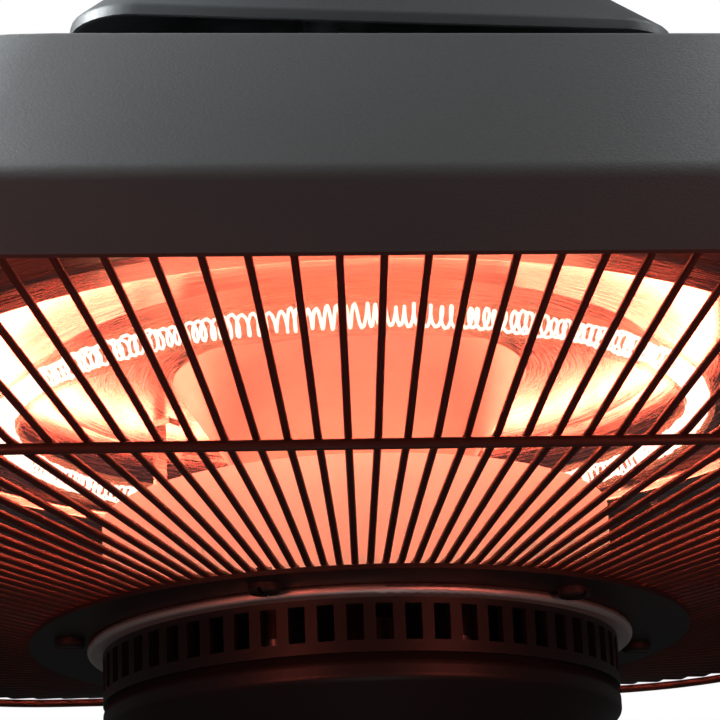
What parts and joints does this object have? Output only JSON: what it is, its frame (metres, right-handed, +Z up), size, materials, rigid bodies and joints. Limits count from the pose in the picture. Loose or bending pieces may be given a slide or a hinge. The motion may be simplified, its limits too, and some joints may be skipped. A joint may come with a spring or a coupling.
{
  "type": "ceiling heater",
  "caption": "Square pendant ceiling heater: pressed hood with roof cap, ring lamp over a spun reflector, radial wire grille and round control hub, hung on a tilting, turning stem.",
  "frame": {"origin": "centre of the ceiling plate's upper face, where it meets the ceiling", "axes": "+Z up into the ceiling, -Y towards the front, +Y towards the cable gland, +X to the right seen from the front"},
  "size_m": [0.425, 0.425, 0.3355],
  "materials": {
    "zinc_steel": "zinc plated, satin",
    "hood_paint": "fine matt powder coat",
    "shield_steel": "dark heat-resistant coat",
    "reflector_aluminium": "spun and brushed",
    "quartz": "clear, glossy",
    "filament": "glowing coil",
    "seal_metal": "satin",
    "ceramic": "unglazed white ceramic",
    "lead_sleeve": "braided glass-fibre sleeve",
    "fibre": "pressed ceramic fibre",
    "grille_steel": "black heat-resistant coat",
    "trim_metal": "satin",
    "hub_plastic": "fine-grained matt",
    "panel_plastic": "smooth matt",
    "board": "solder mask",
    "button_plastic": "satin",
    "lens": "clear red",
    "window": "dark infrared window",
    "gland_plastic": "satin"
  },
  "bodies": {
    "ceiling_mount": {"ceiling_plate": "zinc_steel", "pivot_bracket": "zinc_steel", "bracket_rivets": "zinc_steel", "pivot_pin": "zinc_steel", "pin_clip": "zinc_steel"},
    "yoke": {"hanging_yoke": "zinc_steel"},
    "heater": {"stem_tube": "zinc_steel", "stem_nuts": "zinc_steel", "stem_washers": "zinc_steel", "roof_cap": "hood_paint", "cap_spacer": "zinc_steel", "wiring_box": "zinc_steel", "wiring_box_lid": "zinc_steel", "terminal_block": "ceramic", "earth_stud": "zinc_steel", "cable_gland": "gland_plastic", "gland_nut": "gland_plastic", "top_plate": "zinc_steel", "top_screws": "zinc_steel", "hood_shell": "hood_paint", "shield_posts": "zinc_steel", "post_screws": "zinc_steel", "heat_shield": "shield_steel", "reflector_pan": "reflector_aluminium", "core_cone": "reflector_aluminium", "lamp_tube": "quartz", "lamp_filament": "filament", "lamp_seals": "seal_metal", "lamp_end_caps": "ceramic", "lamp_leads": "lead_sleeve", "lamp_clips": "seal_metal", "reflector_drum": "reflector_aluminium", "drum_base": "zinc_steel", "drum_insulation": "fibre", "drum_stays": "reflector_aluminium", "grille_wires_front": "grille_steel", "grille_wires_right": "grille_steel", "grille_wires_back": "grille_steel", "grille_wires_left": "grille_steel", "grille_frame_wire": "grille_steel", "grille_middle_wire": "grille_steel", "frame_clips": "zinc_steel", "hub_plate": "grille_steel", "hub_screws": "grille_steel", "trim_ring": "trim_metal", "vent_ring": "hub_plastic", "hub_chassis": "zinc_steel", "hub_cup": "hub_plastic", "cup_posts": "zinc_steel", "control_panel": "panel_plastic", "control_board": "board", "board_posts": "zinc_steel", "board_parts": "board", "button_switches": "board", "power_spring": "zinc_steel", "heat_spring": "zinc_steel", "indicator_lens": "lens", "receiver_window": "window"},
    "power_button": {"power_button": "button_plastic"},
    "heat_button": {"heat_button": "button_plastic"}
  },
  "joints": [
    {"name": "tilt_pivot", "type": "hinge", "parent": "ceiling_mount", "child": "yoke", "pos_m": [0, 0, -0.03], "axis": [1, 0, 0], "range_deg": [-35, 35]},
    {"name": "stem_swivel", "type": "hinge", "parent": "yoke", "child": "heater", "pos_m": [0, 0, -0.0565], "axis": [0, 0, 1], "range_deg": [-170, 170]},
    {"name": "power_press", "type": "slide", "parent": "heater", "child": "power_button", "axis": [0, 0, 1], "range_m": [0, 0.0015], "stiffness_N_per_m": 250, "springref_m": -0.003, "deforming": ["power_spring"]},
    {"name": "heat_press", "type": "slide", "parent": "heater", "child": "heat_button", "axis": [0, 0, 1], "range_m": [0, 0.0015], "stiffness_N_per_m": 250, "springref_m": -0.003, "deforming": ["heat_spring"]}
  ]
}
